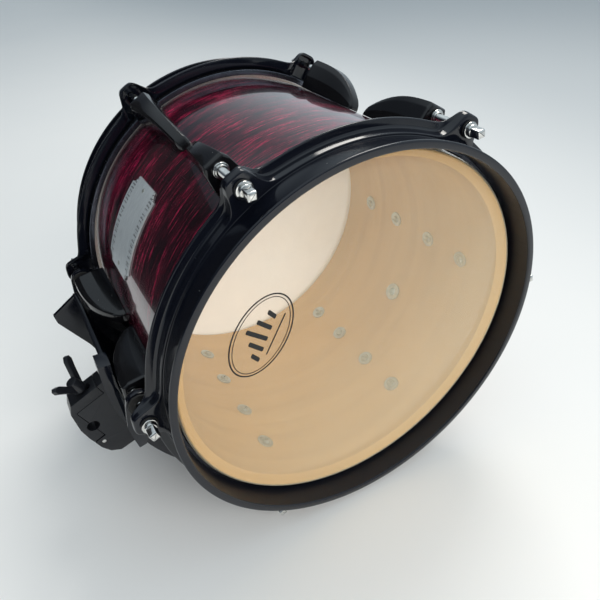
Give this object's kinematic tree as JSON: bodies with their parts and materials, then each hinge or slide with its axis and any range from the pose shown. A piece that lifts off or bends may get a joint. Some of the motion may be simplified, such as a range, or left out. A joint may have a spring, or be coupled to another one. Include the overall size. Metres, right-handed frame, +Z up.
{
  "type": "tom tom drum",
  "caption": "Suspended tom tom drum on its side: wrapped wood shell, clear heads, black flanged rims, lugs with tension rods, and a side bracket with a rod clamp.",
  "frame": {"origin": "centre of the front head's playing face", "axes": "-Y out of the front head along the shell's axis, +Z up as the drum lies on the rim ears at 5 and 7 o'clock, +X towards the 3 o'clock lug line, away from the bracket"},
  "size_m": [0.406, 0.2758, 0.334],
  "materials": {
    "shell_wrap": "bare maple inside; outside a black and crimson streaked plastic wrap with a clear high gloss",
    "clear_film": "clear polyester film, glossy and slightly hazy, with a blank oval emblem",
    "white_film": "thin off-white polyester film, semi-gloss",
    "flesh_hoop": "mill finish",
    "black_rim": "gloss black plated steel",
    "black_casting": "gloss black zinc casting",
    "black_bracket": "gloss black steel plate",
    "chrome": "bright nickel and chrome plate",
    "badge_metal": "satin plate, blank",
    "black_rubber": "matt black rubber"
  },
  "bodies": {
    "drum": {"shell": "shell_wrap", "front_head": "clear_film", "back_head": "white_film", "front_flesh_hoop": "flesh_hoop", "back_flesh_hoop": "flesh_hoop", "front_hoop": "black_rim", "back_hoop": "black_rim", "lug_front_3": "black_casting", "swivel_nut_front_3": "chrome", "lug_front_1": "black_casting", "swivel_nut_front_1": "chrome", "lug_front_11": "black_casting", "swivel_nut_front_11": "chrome", "lug_front_9": "black_casting", "swivel_nut_front_9": "chrome", "lug_front_7": "black_casting", "swivel_nut_front_7": "chrome", "lug_front_5": "black_casting", "swivel_nut_front_5": "chrome", "lug_back_3": "black_casting", "swivel_nut_back_3": "chrome", "lug_back_1": "black_casting", "swivel_nut_back_1": "chrome", "lug_back_11": "black_casting", "swivel_nut_back_11": "chrome", "lug_back_9": "black_casting", "swivel_nut_back_9": "chrome", "lug_back_7": "black_casting", "swivel_nut_back_7": "chrome", "lug_back_5": "black_casting", "swivel_nut_back_5": "chrome", "vent_grommet": "chrome", "badge": "badge_metal", "suspension_bracket": "black_bracket", "rubber_bush_front_9": "black_rubber", "rubber_bush_front_7": "black_rubber", "rubber_bush_back_9": "black_rubber", "rubber_bush_back_7": "black_rubber", "clamp_body": "black_casting", "hinge_pin": "chrome"},
    "rod_front_3": {"tension_rod_front_3": "chrome"},
    "rod_front_1": {"tension_rod_front_1": "chrome"},
    "rod_front_11": {"tension_rod_front_11": "chrome"},
    "rod_front_9": {"tension_rod_front_9": "chrome"},
    "rod_front_7": {"tension_rod_front_7": "chrome"},
    "rod_front_5": {"tension_rod_front_5": "chrome"},
    "rod_back_3": {"tension_rod_back_3": "chrome"},
    "rod_back_1": {"tension_rod_back_1": "chrome"},
    "rod_back_11": {"tension_rod_back_11": "chrome"},
    "rod_back_9": {"tension_rod_back_9": "chrome"},
    "rod_back_7": {"tension_rod_back_7": "chrome"},
    "rod_back_5": {"tension_rod_back_5": "chrome"},
    "jaw": {"clamp_jaw": "black_casting"},
    "wing_bolt": {"wing_bolt": "black_casting"}
  },
  "joints": [
    {"name": "rod_front_3_turn", "type": "hinge", "parent": "drum", "child": "rod_front_3", "pos_m": [0.1708, 0.0023, 0], "axis": [0, -1, 0], "continuous": true},
    {"name": "rod_front_1_turn", "type": "hinge", "parent": "drum", "child": "rod_front_1", "pos_m": [0.0854, 0.0023, 0.14792], "axis": [0, -1, 0], "continuous": true},
    {"name": "rod_front_11_turn", "type": "hinge", "parent": "drum", "child": "rod_front_11", "pos_m": [-0.0854, 0.0023, 0.14792], "axis": [0, -1, 0], "continuous": true},
    {"name": "rod_front_9_turn", "type": "hinge", "parent": "drum", "child": "rod_front_9", "pos_m": [-0.1708, 0.0023, 0], "axis": [0, -1, 0], "continuous": true},
    {"name": "rod_front_7_turn", "type": "hinge", "parent": "drum", "child": "rod_front_7", "pos_m": [-0.0854, 0.0023, -0.14792], "axis": [0, -1, 0], "continuous": true},
    {"name": "rod_front_5_turn", "type": "hinge", "parent": "drum", "child": "rod_front_5", "pos_m": [0.0854, 0.0023, -0.14792], "axis": [0, -1, 0], "continuous": true},
    {"name": "rod_back_3_turn", "type": "hinge", "parent": "drum", "child": "rod_back_3", "pos_m": [0.1708, 0.2383, 0], "axis": [0, 1, 0], "continuous": true},
    {"name": "rod_back_1_turn", "type": "hinge", "parent": "drum", "child": "rod_back_1", "pos_m": [0.0854, 0.2383, 0.14792], "axis": [0, 1, 0], "continuous": true},
    {"name": "rod_back_11_turn", "type": "hinge", "parent": "drum", "child": "rod_back_11", "pos_m": [-0.0854, 0.2383, 0.14792], "axis": [0, 1, 0], "continuous": true},
    {"name": "rod_back_9_turn", "type": "hinge", "parent": "drum", "child": "rod_back_9", "pos_m": [-0.1708, 0.2383, 0], "axis": [0, 1, 0], "continuous": true},
    {"name": "rod_back_7_turn", "type": "hinge", "parent": "drum", "child": "rod_back_7", "pos_m": [-0.0854, 0.2383, -0.14792], "axis": [0, 1, 0], "continuous": true},
    {"name": "rod_back_5_turn", "type": "hinge", "parent": "drum", "child": "rod_back_5", "pos_m": [0.0854, 0.2383, -0.14792], "axis": [0, 1, 0], "continuous": true},
    {"name": "jaw_hinge", "type": "hinge", "parent": "drum", "child": "jaw", "pos_m": [-0.2004, 0.1173, -0.10455], "axis": [0, -1, 0], "range_deg": [0, 3.5]},
    {"name": "wing_bolt_turn", "type": "hinge", "parent": "drum", "child": "wing_bolt", "pos_m": [-0.20585, 0.1173, -0.04239], "axis": [-0.4067, 0, 0.9135], "continuous": true}
  ]
}
